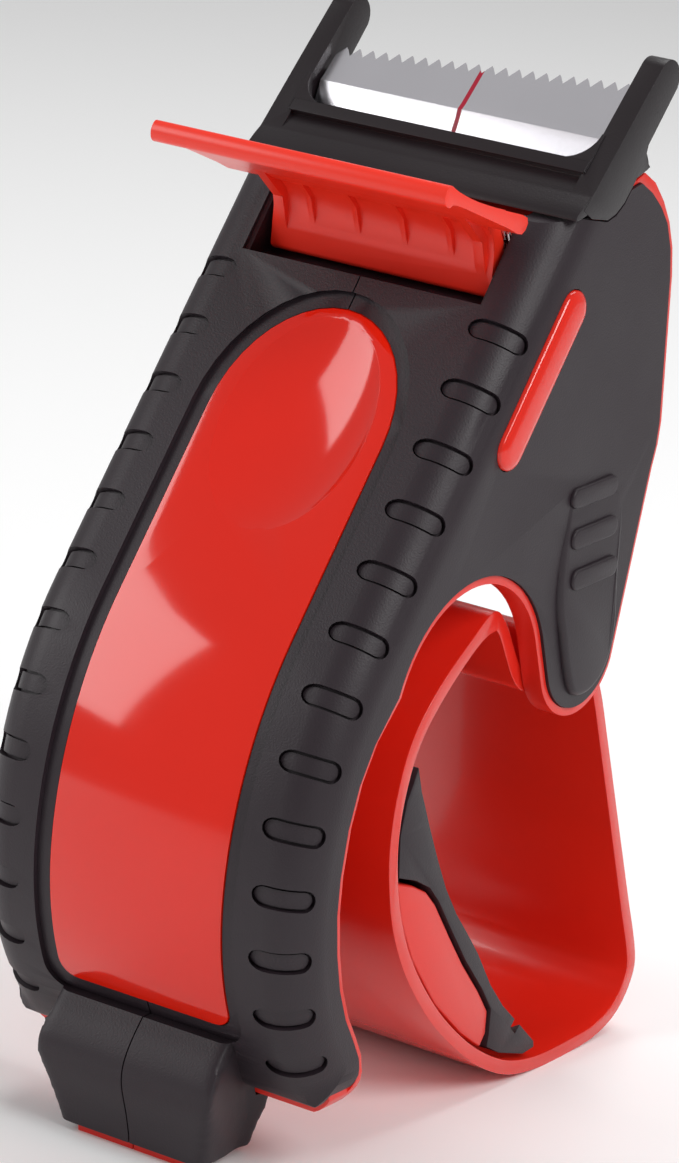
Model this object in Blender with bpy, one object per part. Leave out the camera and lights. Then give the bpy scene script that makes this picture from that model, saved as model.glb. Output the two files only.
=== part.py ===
"""Hand-held packing tape dispenser, built as an assembly of separate pieces.

+X is the side with the visible tongue, -Y the front of the spine, +Z up.
The dispenser stands on its foot and on the bottom of the hand loop, with X = 0
as its mirror plane. Outlines are (y, z) pairs in millimetres.
"""
import bpy
import bmesh
from math import cos, sin, radians, pi
from mathutils import Matrix, Vector

MM = 0.001
GAP = 0.3                 # between touching pieces
SEAM = 0.15               # half of the gap at the middle seam

# widths, measured from the mirror plane
HALF_WIDTH = 31.0         # outer face of the soft skins and the ears
SKIN = 1.4                # soft skin on the side plates
FRONT_SKIN = 2.0          # soft skin on the front of the spine
SHELL = 2.3               # red shell wall
SHELL_OUT = HALF_WIDTH - SKIN - GAP
SHELL_IN = SHELL_OUT - SHELL
CORE = SHELL_IN - GAP     # half width of what sits between the shells

# spine front: a straight run, then two arcs down to the foot
SPINE_TOP = (2.4, 145.0)
UPPER_ARC = (9.8, 47.0, 64.6)      # centre y, centre z, radius
LOWER_ARC = (-4.8, 47.0, 50.0)
ARCH = (-13.0, 71.4, 20.0)         # arch between spine and lobe
LOBE = (19.0, 75.0, 11.2)          # rounded end of the side plate

WINDOW_HALF = 16.2
WINDOW_LOW, WINDOW_HIGH = 24.5, 128.0
FLAP_AXIS = (3.2, 142.6)
FLAP_HALF = 27.0
PIN_R = 1.0
PIN_HALF = 24.0
FLAP_ROOT_HALF = 18.0
ROLLER_AXIS = (19.0, 140.0)
ROLLER_R = 5.0
AXLE_R = 1.5
RUNNING = 0.05            # radial clearance of pins and axles
SCREW_R = 1.3
HEAD_R = 2.5
BOSS_AXIS = (19.5, 72.5)
SPACERS = {"upper_spacer": (27.0, 128.0), "rear_spacer": (29.0, 104.0)}

RED = (0.72, 0.03, 0.02)
DEEP_RED = (0.60, 0.02, 0.015)
BLACK = (0.035, 0.030, 0.034)
STEEL = (0.70, 0.69, 0.72)
GREY = (0.45, 0.45, 0.46)
STEEL_FINISH = (STEEL, 0.3, 1.0)

for old in list(bpy.data.objects):
    bpy.data.objects.remove(old, do_unlink=True)

parts = bpy.data.collections.new("tape_dispenser")
cutters = bpy.data.collections.new("cutters")
bpy.context.scene.collection.children.link(parts)
bpy.context.scene.collection.children.link(cutters)

TO_SIDE = Matrix(((0, 0, 1, 0), (1, 0, 0, 0), (0, 1, 0, 0), (0, 0, 0, 1)))


def material(name, colour, roughness, metallic=0.0):
    found = bpy.data.materials.get(name)
    if found:
        return found
    made = bpy.data.materials.new(name)
    made.use_nodes = True
    shader = made.node_tree.nodes["Principled BSDF"]
    shader.inputs["Base Color"].default_value = (*colour, 1.0)
    shader.inputs["Roughness"].default_value = roughness
    shader.inputs["Metallic"].default_value = metallic
    return made


def arc(centre_y, centre_z, radius, start, end, steps):
    """Points along an arc; angles in degrees, 0 at +Y and 90 at +Z."""
    turn = [radians(start + (end - start) * i / steps) for i in range(steps + 1)]
    return [(centre_y + radius * cos(a), centre_z + radius * sin(a)) for a in turn]


def link(obj, finish=None):
    (parts if finish else cutters).objects.link(obj)
    if finish:
        obj.data.materials.append(material(obj.name, *finish))
    else:
        obj.hide_render = True
        obj.display_type = "WIRE"
    return obj


def plate(name, outline, low, high, finish=None, origin=(0.0, 0.0)):
    """A flat outline in the YZ plane, extruded from X = low to X = high."""
    curve = bpy.data.curves.new(name, "CURVE")
    curve.dimensions = "2D"
    curve.fill_mode = "BOTH"
    curve.extrude = (high - low) / 2 * MM
    spline = curve.splines.new("POLY")
    spline.points.add(len(outline) - 1)
    for point, (y, z) in zip(spline.points, outline):
        point.co = ((y - origin[0]) * MM, (z - origin[1]) * MM, 0.0, 1.0)
    spline.use_cyclic_u = True
    guide = bpy.data.objects.new(name + "_curve", curve)
    bpy.context.scene.collection.objects.link(guide)
    graph = bpy.context.evaluated_depsgraph_get()
    mesh = bpy.data.meshes.new_from_object(guide.evaluated_get(graph))
    mesh.name = name
    bpy.data.objects.remove(guide, do_unlink=True)
    shape = bmesh.new()
    shape.from_mesh(mesh)
    bmesh.ops.remove_doubles(shape, verts=shape.verts, dist=0.00001)
    bmesh.ops.dissolve_limit(shape, angle_limit=0.001, verts=shape.verts, edges=shape.edges)
    shape.transform(TO_SIDE)
    bmesh.ops.recalc_face_normals(shape, faces=shape.faces)
    if shape.calc_volume(signed=True) < 0:
        bmesh.ops.reverse_faces(shape, faces=shape.faces)
    shape.to_mesh(mesh)
    shape.free()
    obj = bpy.data.objects.new(name, mesh)
    obj.location = ((low + high) / 2 * MM, origin[0] * MM, origin[1] * MM)
    return link(obj, finish)


def rod(name, centre, radius, low, high, finish=None, sides=20):
    """A round bar along X, with its origin on its own axis."""
    shape = bmesh.new()
    bmesh.ops.create_cone(shape, cap_ends=True, segments=sides, radius1=radius * MM,
                          radius2=radius * MM, depth=(high - low) * MM,
                          matrix=Matrix.Rotation(pi / 2, 4, "Y"))
    mesh = bpy.data.meshes.new(name)
    shape.to_mesh(mesh)
    shape.free()
    mesh.shade_smooth()
    mesh.set_sharp_from_angle(angle=radians(40))
    obj = bpy.data.objects.new(name, mesh)
    obj.location = ((low + high) / 2 * MM, centre[0] * MM, centre[1] * MM)
    return link(obj, finish)


def boolean(target, other, operation):
    step = target.modifiers.new(operation.lower() + "_" + other.name, "BOOLEAN")
    step.operation = operation
    step.object = other
    step.solver = "EXACT"


def cut(target, other):
    boolean(target, other, "DIFFERENCE")


def join(target, other):
    boolean(target, other, "UNION")


def spine_front(inset):
    """The front line of the spine from top to bottom, moved inwards by inset."""
    tangent = 143.2
    upper = arc(UPPER_ARC[0], UPPER_ARC[1], UPPER_ARC[2] - inset, tangent, 180, 5)
    lower = arc(LOWER_ARC[0], LOWER_ARC[1], LOWER_ARC[2] - inset, 180, 222, 5)
    along = Vector((0.599, 0.801))
    top = Vector(upper[0]) + along * ((SPINE_TOP[1] - upper[0][1]) / along.y)
    return [tuple(top)] + upper + lower[1:]


def side_back(inset):
    """The rest of the side plate's outline: foot end, spine edge, arch, lobe, back, top."""
    arch_y, arch_z, arch_r = ARCH
    lobe_y, lobe_z, lobe_r = LOBE
    points = [(-38.5 - abs(inset), 11.0 + inset), (-36.0 - inset, 11.4 + inset)]
    points += [(-33.2 - inset, 14.0 + inset), (-33.0 - inset, 18.0)]
    points += [(-38.6 - inset, 28.0), (-42.0 - inset, 36.5), (-43.6 - inset, 46.0)]
    points += [(-43.2 - inset, 56.0), (-40.6 - inset, 66.0)]
    points += arc(arch_y, arch_z, arch_r + inset, 165, 15, 10)
    points += arc(lobe_y, lobe_z, lobe_r - inset, 205, 335, 8)
    points += [(36.4 - inset, 103.0), (37.8 - inset, 108.0), (36.2 - inset, 133.0)]
    points += [(33.6 - inset, 142.0), (28.0 - inset, 149.0 - inset), (24.5 - inset, 151.0 - inset)]
    return points


def round_front(obj, front, side_x, radius, segments=3):
    """Rounds the long edge where the front of the spine meets the side face."""
    chain = [Vector((side_x * MM, y * MM, z * MM)) for y, z in front]
    shape = bmesh.new()
    shape.from_mesh(obj.data)
    shape.transform(Matrix.Translation(obj.location))
    on_chain = {v for v in shape.verts if any((v.co - c).length < 0.00002 for c in chain)}
    edges = [e for e in shape.edges if e.verts[0] in on_chain and e.verts[1] in on_chain]
    bmesh.ops.bevel(shape, geom=edges, offset=radius * MM, segments=segments,
                    affect="EDGES", profile=0.5, clamp_overlap=False)
    shape.transform(Matrix.Translation(-obj.location))
    shape.to_mesh(obj.data)
    shape.free()


def block(name, inset, rim, side_x, radius, finish=None, seam=SEAM):
    """Half of the housing as a solid, from the middle seam out to side_x."""
    front = spine_front(inset)
    obj = plate(name, front + side_back(rim), seam, side_x, finish)
    round_front(obj, front, side_x, radius)
    return obj


def hollow(name, inset, side_x, radius):
    """The space behind the front wall, open at the back, top and bottom."""
    front = spine_front(inset)
    top = (front[0][0] + 15.0, front[0][1] + 20.0)
    low = (front[-1][0] + 4.5, front[-1][1] - 6.0)
    path = [top] + front + [low]
    obj = plate(name, path + [(low[0], -20.0), (70.0, -20.0), (70.0, top[1])], -2.0, side_x)
    round_front(obj, path, side_x, radius)
    return obj


def window_hole(name, half, low, high):
    """An upright opening with a round top, cut straight through the front wall."""
    top = [(half * cos(radians(a)), high - half + half * sin(radians(a))) for a in range(0, 181, 20)]
    outline = [(-half, low), (half, low)] + top
    obj = plate(name, outline, -65.0, 3.0)
    obj.data.transform(Matrix.Rotation(pi / 2, 4, "Z"))
    obj.location = (0.0, -31.0 * MM, 0.0)
    return obj


FOOT_OUTER = [(-47.5, 24.5), (-52.0, 18.0), (-53.0, 13.0), (-49.5, 1.6), (-37.0, 1.6), (-36.0, 13.0)]
FOOT_INNER = [(-45.5, 22.0), (-49.5, 16.5), (-50.0, 13.0), (-47.2, 0.0), (-38.6, 0.0), (-38.0, 13.0)]
FOOT_SPACE = [(-45.7, 22.4), (-49.9, 16.6), (-50.3, 13.0), (-47.5, -1.0), (-38.2, -1.0), (-37.6, 13.1)]
FOOT_HALF = 13.0


# the pocket in the spine's top that the root of the flap swings in, and the red wall behind it
RECESS = [(-12.0, 138.0), (-5.5, 131.8), (4.0, 131.8), (11.5, 141.5), (11.5, 148.5), (2.0, 151.0)]
POCKET_WALL = [(-4.9, 130.6), (4.6, 130.6), (12.7, 141.0), (12.7, 146.6), (7.2, 145.0)]


def mirrored(source, name, finish):
    """The other half: a finished piece turned over the mirror plane."""
    graph = bpy.context.evaluated_depsgraph_get()
    mesh = bpy.data.meshes.new_from_object(source.evaluated_get(graph))
    mesh.name = name
    mesh.transform(source.matrix_world)
    mesh.transform(Matrix.Scale(-1, 4, Vector((1, 0, 0))))
    mesh.flip_normals()
    mesh.materials.clear()
    return link(bpy.data.objects.new(name, mesh), finish)


def build_shells():
    shell_inset = FRONT_SKIN + GAP
    shell = block("right_shell", shell_inset, 0.0, SHELL_OUT, 7.4, (RED, 0.35))
    cut(shell, hollow("shell_hollow", shell_inset + SHELL, SHELL_IN, 3.6))
    join(shell, plate("foot_core", FOOT_INNER, SEAM, FOOT_HALF - FRONT_SKIN - GAP))
    cut(shell, window_hole("shell_window", WINDOW_HALF - 2.5, WINDOW_LOW + 3.0, WINDOW_HIGH - 3.0))
    join(shell, plate("pocket_wall", POCKET_WALL, SEAM, 23.6))
    recess = plate("recess_hole", RECESS, -22.4, 22.4)
    cut(shell, recess)
    cut(shell, rod("axle_hole", ROLLER_AXIS, AXLE_R + RUNNING, 20.0, SHELL_OUT - 1.0))
    pin_hole = rod("pin_seat", FLAP_AXIS, PIN_R + RUNNING, 20.0, PIN_HALF + GAP)
    cut(shell, pin_hole)

    skin = block("right_overmould", 0.0, 1.4, HALF_WIDTH, 7.0, (BLACK, 0.7))
    shell_space = block("skin_hollow", FRONT_SKIN, -GAP, HALF_WIDTH - SKIN, 5.6, seam=-2.0)
    foot = plate("foot_block", FOOT_OUTER, SEAM, FOOT_HALF)
    join(skin, foot)
    cut(skin, shell_space)
    cut(skin, plate("foot_hollow", FOOT_SPACE, -2.0, FOOT_HALF - FRONT_SKIN))
    cut(skin, window_hole("skin_window", WINDOW_HALF + GAP, WINDOW_LOW, WINDOW_HIGH))
    cut(skin, recess)
    cut(skin, pin_hole)
    cut(skin, plate("inlay_hole", inlay_outline(GAP), 29.0, 40.0))
    join(skin, plate("tongue", tongue_outline(), HALF_WIDTH - 0.8, HALF_WIDTH + 1.2))
    return shell, skin


def pill(start, end, radius, steps=6):
    """A slot outline around the line from start to end."""
    run = Vector(end) - Vector(start)
    heading = Vector((1, 0)).angle_signed(run) * -1
    turn = heading * 180 / pi
    tip = arc(end[0], end[1], radius, turn - 90, turn + 90, steps)
    tail = arc(start[0], start[1], radius, turn + 90, turn + 270, steps)
    return tip + tail


def inlay_outline(extra):
    return pill((-8.6, 112.3), (5.9, 131.8), 2.6 + extra)


def tongue_outline():
    return [(26.6, 99.5), (27.6, 76.0), (24.0, 69.0), (19.0, 67.2), (15.0, 69.4), (9.4, 84.0), (12.0, 101.0)]


def build_window():
    front = spine_front(0.0)
    inner = spine_front(FRONT_SKIN + GAP + SHELL - 0.4)
    solid = plate("window_insert", front + inner[::-1], -WINDOW_HALF, WINDOW_HALF, (DEEP_RED, 0.12))
    keep = window_hole("window_keep", WINDOW_HALF - 2.8, WINDOW_LOW + 3.3, WINDOW_HIGH - 3.3)
    lid = plate("window_lid", front + spine_front(FRONT_SKIN)[::-1], -WINDOW_HALF, WINDOW_HALF)
    boolean(lid, window_hole("window_edge", WINDOW_HALF, WINDOW_LOW + GAP, WINDOW_HIGH - GAP), "INTERSECT")
    boolean(solid, keep, "INTERSECT")
    join(solid, lid)
    dish = bmesh.new()
    bmesh.ops.create_uvsphere(dish, u_segments=20, v_segments=12, radius=1.0)
    mesh = bpy.data.meshes.new("dish")
    lean = Matrix.Rotation(radians(-36.8), 4, "X")
    size = Matrix.Diagonal((12.6 * MM, 6.0 * MM, 18.0 * MM, 1.0))
    dish.transform(Matrix.Translation((0.0, -24.6 * MM, 116.2 * MM)) @ lean @ size)
    dish.to_mesh(mesh)
    dish.free()
    cut(solid, link(bpy.data.objects.new("dish", mesh)))


def build_nose():
    body = [(13.8, 152.0), (4.8, 146.2), (24.2, 151.5), (24.6, 152.2), (23.4, 154.6), (21.0, 157.6),
            (18.9, 155.5), (16.9, 150.8), (15.2, 150.4)]
    nose = plate("nose_fork", body, -HALF_WIDTH, HALF_WIDTH, (BLACK, 0.6))
    ear = [(8.2, 149.6), (26.0, 168.0)] + arc(28.1, 165.4, 3.2, 125, -20, 6)
    ear += [(23.4, 154.0), (24.0, 151.8), (12.0, 149.0)]
    for name, low, high in (("near_ear", 27.2, HALF_WIDTH), ("far_ear", -HALF_WIDTH, -27.2)):
        join(nose, plate(name, ear, low, high))


def build_blade():
    tilt = radians(45)
    crease = Vector((17.6, 156.2))
    up = Vector((cos(tilt), sin(tilt)))
    thick = 0.8
    outline = [(15.6, 151.2), tuple(crease), tuple(crease + up * 11.4),
               (crease.x + up.x * 11.4 + thick * 0.7, crease.y + up.y * 11.4 - thick * 0.7),
               (crease.x + thick * 0.9, crease.y - thick * 0.5), (15.6 + thick * 0.9, 151.2)]
    blade = plate("cutter_blade", outline, -26.6, 26.6, (STEEL, 0.18, 1.0))
    above = [(10.0, 140.0), (40.0, 140.0), (40.0, 190.0), (10.0, 190.0)]
    teeth = plate("tooth_cutter", above, -40.0, 40.0)
    teeth.data = saw_mesh(crease, up)
    teeth.location = (0.0, 0.0, 0.0)
    cut(blade, teeth)


def saw_mesh(crease, up):
    """A block whose lower edge is a slanted saw line, thick enough to trim the blade's edge."""
    count = 22
    pitch = 2 * 26.6 / count
    rise = [6.9 + (11.2 - 6.9) * i / (2 * count) - (1.5 if i % 2 == 0 else 0.0) for i in range(2 * count + 1)]
    line = [(-26.6 + pitch / 2 * i, rise[i]) for i in range(2 * count + 1)]
    line = [(-30.0, line[0][1])] + line + [(30.0, line[-1][1])]
    shape = bmesh.new()
    facing = Vector((-up.y, up.x))
    ring = [(x, r) for x, r in line] + [(30.0, 20.0), (-30.0, 20.0)]
    verts = []
    for x, reach in ring:
        at = crease + up * reach + facing * 4.0
        verts.append(shape.verts.new((x * MM, at.x * MM, at.y * MM)))
    face = shape.faces.new(verts)
    grown = bmesh.ops.extrude_face_region(shape, geom=[face])
    moved = [g for g in grown["geom"] if isinstance(g, bmesh.types.BMVert)]
    bmesh.ops.translate(shape, verts=moved, vec=Vector((0.0, -facing.x, -facing.y)) * 8.0 * MM)
    bmesh.ops.recalc_face_normals(shape, faces=shape.faces)
    mesh = bpy.data.meshes.new("saw")
    shape.to_mesh(mesh)
    shape.free()
    return mesh


def build_flap():
    """The flap: lip plate out to the front, root plate down in the recess, ribs between."""
    lip = [(-25.6, 154.6), (-27.2, 153.6), (-27.0, 152.0), (-25.4, 151.3), (-23.6, 151.4), (-9.0, 146.0),
           (-1.0, 143.4), (-1.6, 133.6), (0.4, 133.4), (2.0, 139.6), (6.4, 142.4), (4.4, 145.6),
           (-10.0, 148.9), (-23.0, 152.9)]
    flap = plate("flap", lip, -FLAP_ROOT_HALF, FLAP_ROOT_HALF, (RED, 0.3), FLAP_AXIS)
    wide = [(-25.6, 154.6), (-27.2, 153.6), (-27.0, 152.0), (-25.4, 151.3), (-23.6, 151.4), (-9.0, 146.0),
            (-5.5, 144.8), (-4.0, 147.3), (-10.0, 148.9), (-23.0, 152.9)]
    join(flap, plate("flap_wide", wide, -FLAP_HALF, FLAP_HALF))
    cut(flap, rod("pin_hole", FLAP_AXIS, PIN_R + RUNNING, -30.0, 30.0))
    rod("flap_pin", FLAP_AXIS, PIN_R, -PIN_HALF, PIN_HALF, STEEL_FINISH)


LOOP_OUTER = [(-1.2, 84.0), (-6.7, 80.9), (-15.2, 74.6), (-21.6, 68.4), (-24.2, 60.0), (-25.1, 52.0),
              (-24.4, 45.0), (-22.0, 36.5), (-17.6, 28.0), (-8.6, 17.4), (0.5, 10.0), (8.8, 4.8), (17.0, 1.5),
              (25.0, 0.0), (36.0, 0.0), (44.0, 0.6), (50.0, 3.0), (54.2, 7.6), (54.8, 13.0), (50.0, 24.5),
              (44.1, 39.3), (38.1, 54.3), (34.4, 63.6), (31.0, 68.2), (26.0, 70.2), (13.0, 70.2), (8.6, 72.2),
              (2.6, 81.6)]
LOOP_INNER = [(-1.0, 80.6), (-5.6, 78.8), (-13.4, 73.0), (-19.6, 66.8), (-21.9, 59.0), (-22.8, 52.0),
              (-22.1, 45.4), (-19.9, 37.4), (-15.7, 29.3), (-7.1, 19.2), (1.8, 11.9), (9.8, 6.9), (17.6, 3.8),
              (25.3, 2.3), (36.0, 2.3), (43.6, 2.8), (48.6, 4.8), (51.6, 8.4), (52.0, 12.8), (47.9, 23.6),
              (42.0, 38.4), (36.0, 53.4), (32.4, 62.2), (29.8, 66.3), (25.4, 67.8), (12.6, 67.8), (7.2, 70.0),
              (1.2, 79.6)]


def build_loop():
    loop = plate("hub_loop", LOOP_OUTER, -CORE, CORE, (RED, 0.25))
    cut(loop, plate("loop_space", LOOP_INNER, -40.0, 40.0))
    join(loop, rod("loop_boss", BOSS_AXIS, 4.0, -CORE, CORE, sides=24))
    cut(loop, rod("boss_bore", BOSS_AXIS, SCREW_R + RUNNING, -40.0, -8.0))


WEDGE_BACK = [(-21.2, 44.0), (-19.4, 37.6), (-15.2, 29.6), (-6.7, 19.6), (2.1, 12.3), (8.2, 8.3)]
WEDGE_MID = [(9.7, 10.6), (9.6, 14.5), (6.2, 18.8), (0.5, 25.0), (-3.9, 30.5), (-9.4, 37.6), (-12.4, 40.4),
             (-16.4, 42.4)]
RUBBER_BACK = [(-20.9, 57.5), (-22.0, 52.0), (-21.3, 45.0), (-16.2, 43.3), (-12.0, 41.1), (-9.0, 38.1),
               (-3.5, 31.0), (0.9, 25.5), (6.6, 19.3), (10.1, 14.8), (10.2, 10.4), (9.9, 8.0)]
RUBBER_FRONT = [(14.0, 5.9), (21.5, 3.7), (24.8, 4.0), (24.6, 5.2), (19.7, 9.4), (13.8, 14.3), (9.3, 19.1),
                (4.4, 25.8), (0.5, 30.3), (-3.3, 34.5), (-7.2, 39.8), (-10.5, 45.5), (-13.7, 51.5),
                (-17.0, 58.1), (-18.6, 62.4), (-19.8, 60.0)]


def build_grip():
    plate("grip_core", WEDGE_BACK + WEDGE_MID, -CORE + 0.6, CORE - 0.6, (RED, 0.4))
    plate("grip_rubber", RUBBER_BACK + RUBBER_FRONT, -CORE + 0.3, CORE - 0.3, (BLACK, 0.8))


def build_inside():
    white = (GREY, 0.4)
    roller = rod("guide_roller", ROLLER_AXIS, ROLLER_R, -24.0, 24.0, white, 28)
    cut(roller, rod("roller_bore", ROLLER_AXIS, AXLE_R + RUNNING, -40.0, 40.0))
    rod("roller_axle", ROLLER_AXIS, AXLE_R, -CORE - 1.0, CORE + 1.0, STEEL_FINISH)
    for side, low, high in (("right", 24.3, 26.4), ("left", -26.4, -24.3)):
        bush = rod("roller_bush_" + side, ROLLER_AXIS, 3.2, low, high, (GREY, 0.5))
        cut(bush, rod("bush_bore_" + side, ROLLER_AXIS, AXLE_R + RUNNING, -40.0, 40.0))
    for name, centre in SPACERS.items():
        spacer = rod(name, centre, 3.4, -CORE, CORE, (RED, 0.4))
        cut(spacer, rod(name + "_bore", centre, SCREW_R + RUNNING, -40.0, -8.0))


def screw(name, centre, tip, face):
    """A pan-head screw along X, driven in from the left side."""
    shank = rod(name, centre, SCREW_R, face - 0.5, tip, STEEL_FINISH, 12)
    join(shank, rod(name + "_head", centre, HEAD_R, face - 1.2, face - 0.3, None, 16))


def screw_holes(shell_piece, skin_piece):
    """Clearance holes for the screws, with room for the heads in the soft skin."""
    for number, centre in enumerate([*SPACERS.values(), BOSS_AXIS]):
        cut(shell_piece, rod("screw_hole" + str(number), centre, SCREW_R + GAP, -40.0, -20.0))
        cut(skin_piece, rod("head_hole" + str(number), centre, HEAD_R + GAP, -40.0, -20.0))


def build_spring():
    """A torsion spring on the flap's pin: close turns and two legs."""
    curve = bpy.data.curves.new("flap_spring", "CURVE")
    curve.dimensions = "3D"
    curve.bevel_depth = 0.3 * MM
    curve.bevel_resolution = 2
    curve.use_fill_caps = True
    turns, per_turn, radius = 3, 10, 1.7
    coil = []
    for step in range(turns * per_turn + 1):
        angle = 2 * pi * step / per_turn
        coil.append((step / per_turn * 0.9, radius * cos(angle), radius * sin(angle)))
    path = [(coil[0][0], radius, -4.0)] + coil + [(coil[-1][0], radius, 2.4)]
    spline = curve.splines.new("POLY")
    spline.points.add(len(path) - 1)
    for point, (x, y, z) in zip(spline.points, path):
        point.co = (x * MM, y * MM, z * MM, 1.0)
    obj = bpy.data.objects.new("flap_spring", curve)
    obj.location = ((FLAP_ROOT_HALF + 0.7) * MM, FLAP_AXIS[0] * MM, FLAP_AXIS[1] * MM)
    return link(obj, STEEL_FINISH)


shell, skin = build_shells()
screw_holes(mirrored(shell, "left_shell", (RED, 0.35)),
            mirrored(skin, "left_overmould", (BLACK, 0.7)))
build_window()
build_nose()
build_blade()
build_flap()
build_loop()
build_grip()
build_inside()
build_spring()
screw("upper_screw", SPACERS["upper_spacer"], -10.0, -SHELL_OUT)
screw("rear_screw", SPACERS["rear_spacer"], -10.0, -SHELL_OUT)
screw("loop_screw", BOSS_AXIS, -10.0, -SHELL_OUT)
plate("right_inlay", inlay_outline(0.0), HALF_WIDTH - SKIN + 0.1, HALF_WIDTH + 0.8, (DEEP_RED, 0.15))
plate("left_inlay", inlay_outline(0.0), -HALF_WIDTH - 0.8, -HALF_WIDTH + SKIN - 0.1, (DEEP_RED, 0.15))
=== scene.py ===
from math import cos, sin, radians, pi
import bpy
import bmesh
from mathutils import Matrix, Vector


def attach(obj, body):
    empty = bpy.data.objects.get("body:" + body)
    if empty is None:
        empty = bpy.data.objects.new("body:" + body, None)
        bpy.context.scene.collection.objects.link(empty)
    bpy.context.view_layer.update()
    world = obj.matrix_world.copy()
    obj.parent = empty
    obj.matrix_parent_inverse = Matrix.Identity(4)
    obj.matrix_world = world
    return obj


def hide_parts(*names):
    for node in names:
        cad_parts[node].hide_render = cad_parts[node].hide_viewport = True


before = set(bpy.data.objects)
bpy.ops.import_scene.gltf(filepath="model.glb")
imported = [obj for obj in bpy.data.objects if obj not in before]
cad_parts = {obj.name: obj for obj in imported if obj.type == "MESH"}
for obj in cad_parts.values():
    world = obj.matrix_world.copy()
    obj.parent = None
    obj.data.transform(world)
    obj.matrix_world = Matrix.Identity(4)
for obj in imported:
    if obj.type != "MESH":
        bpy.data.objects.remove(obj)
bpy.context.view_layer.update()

mm = 0.001  # sizes below are in millimetres, and angles in degrees

# the housing seen from its side: an arc is its centre's y and z, and its radius
housing = {
    "halfWidth": 31.0, "skin": 1.4, "frontSkin": 2.0, "gap": 0.3, "shell": 2.3, "seam": 0.12,
    "rimWidth": 1.3, "rimFace": 30.5, "cornerRadius": 7.0, "cornerSteps": 8,
    "topZ": 145.0, "tangent": 143.2, "lineSlope": (0.599, 0.801), "lowerEnd": 222,
    "upperArc": (9.8, 47.0, 64.6), "lowerArc": (-4.8, 47.0, 50.0),
    "arch": (-13.0, 71.4, 20.0), "lobe": (19.0, 75.0, 11.2),
}
shellOut = housing["halfWidth"] - housing["skin"] - housing["gap"]
shellIn = shellOut - housing["shell"]
coreHalf = shellIn - housing["gap"]


def arc(centreY, centreZ, radius, start, end, steps):
    turns = [radians(start + (end - start) * i / steps) for i in range(steps + 1)]
    return [(centreY + radius * cos(a), centreZ + radius * sin(a)) for a in turns]


def smoothRing(points, steps=5):
    # a closed curve through the points, for soft outlines
    count = len(points)
    ring = []
    for i in range(count):
        a, b, c, d = (Vector(points[(i + k) % count]) for k in (-1, 0, 1, 2))
        for step in range(steps):
            t = step / steps
            ring.append(tuple(0.5 * ((2 * b) + (c - a) * t + (2 * a - 5 * b + 4 * c - d) * t * t
                                     + (3 * b - a - 3 * c + d) * t ** 3)))
    return ring


def pill(start, end, radius, steps=10):
    run = Vector(end) - Vector(start)
    turn = -Vector((1, 0)).angle_signed(run) * 180 / pi
    return (arc(*end, radius, turn - 90, turn + 90, steps)
            + arc(*start, radius, turn + 90, turn + 270, steps))


def newPiece(name, mesh):
    piece = bpy.data.objects.new(name, mesh)
    bpy.context.scene.collection.objects.link(piece)
    return piece


def asMesh(shape, name):
    mesh = bpy.data.meshes.new(name)
    shape.to_mesh(mesh)
    shape.free()
    return mesh


def pushFace(shape, corners, along):
    # a face through the corners, pushed out into a solid
    face = shape.faces.new([shape.verts.new(corner) for corner in corners])
    grown = bmesh.ops.extrude_face_region(shape, geom=[face])["geom"]
    moved = [g for g in grown if isinstance(g, bmesh.types.BMVert)]
    bmesh.ops.translate(shape, verts=moved, vec=along)


def pushedPiece(name, corners, along):
    shape = bmesh.new()
    pushFace(shape, corners, along)
    bmesh.ops.recalc_face_normals(shape, faces=shape.faces)
    return newPiece(name, asMesh(shape, name))


def slab(name, outline, low, high):
    # an outline in the side view, from low to high across the dispenser
    return pushedPiece(name, [(low * mm, y * mm, z * mm) for y, z in outline], ((high - low) * mm, 0, 0))


def throughFront(name, outline, depth):
    # an outline in the front view, pushed back from ahead of the object
    return pushedPiece(name, [(x * mm, -66.0 * mm, z * mm) for x, z in outline], (0, depth * mm, 0))


def rodAcross(name, centre, radius, low, high, sides=48):
    shape = bmesh.new()
    middle = Matrix.Translation(((low + high) / 2 * mm, centre[0] * mm, centre[1] * mm))
    bmesh.ops.create_cone(shape, cap_ends=True, segments=sides, radius1=radius * mm, radius2=radius * mm,
                          depth=(high - low) * mm, matrix=middle @ Matrix.Rotation(pi / 2, 4, "Y"))
    return newPiece(name, asMesh(shape, name))


def settle(piece):
    # applies the modifiers and keeps the mesh alone
    graph = bpy.context.evaluated_depsgraph_get()
    mesh = bpy.data.meshes.new_from_object(piece.evaluated_get(graph))
    piece.modifiers.clear()
    piece.data = mesh
    return piece


def combine(piece, tool, operation):
    step = piece.modifiers.new("shape", "BOOLEAN")
    step.operation = operation
    step.object = tool
    step.solver = "EXACT"
    settle(piece)
    bpy.data.objects.remove(tool, do_unlink=True)
    return piece


def cut(piece, tool):
    return combine(piece, tool, "DIFFERENCE")


def join(piece, tool):
    return combine(piece, tool, "UNION")


def shadeSoftly(piece, angle=38):
    piece.data.shade_smooth()
    piece.data.set_sharp_from_angle(angle=radians(angle))


def bevelEdges(shape, edges, width, segments, clamp=True):
    bmesh.ops.bevel(shape, geom=edges, offset=width * mm, segments=segments, affect="EDGES",
                    profile=0.5, material=-1, clamp_overlap=clamp)


def finishEdges(piece, width=0.35, segments=3, angle=32):
    edge = piece.modifiers.new("edge", "BEVEL")
    edge.width = width * mm
    edge.segments = segments
    edge.limit_method = "ANGLE"
    edge.angle_limit = radians(angle)
    edge.harden_normals = False
    settle(piece)
    shadeSoftly(piece)
    return piece


def mirrored(piece, name):
    # the same piece for the left side
    mesh = piece.data.copy()
    shape = bmesh.new()
    shape.from_mesh(mesh)
    shape.transform(Matrix.Diagonal((-1, 1, 1, 1)))
    bmesh.ops.reverse_faces(shape, faces=shape.faces)
    shape.to_mesh(mesh)
    shape.free()
    return newPiece(name, mesh)


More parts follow.
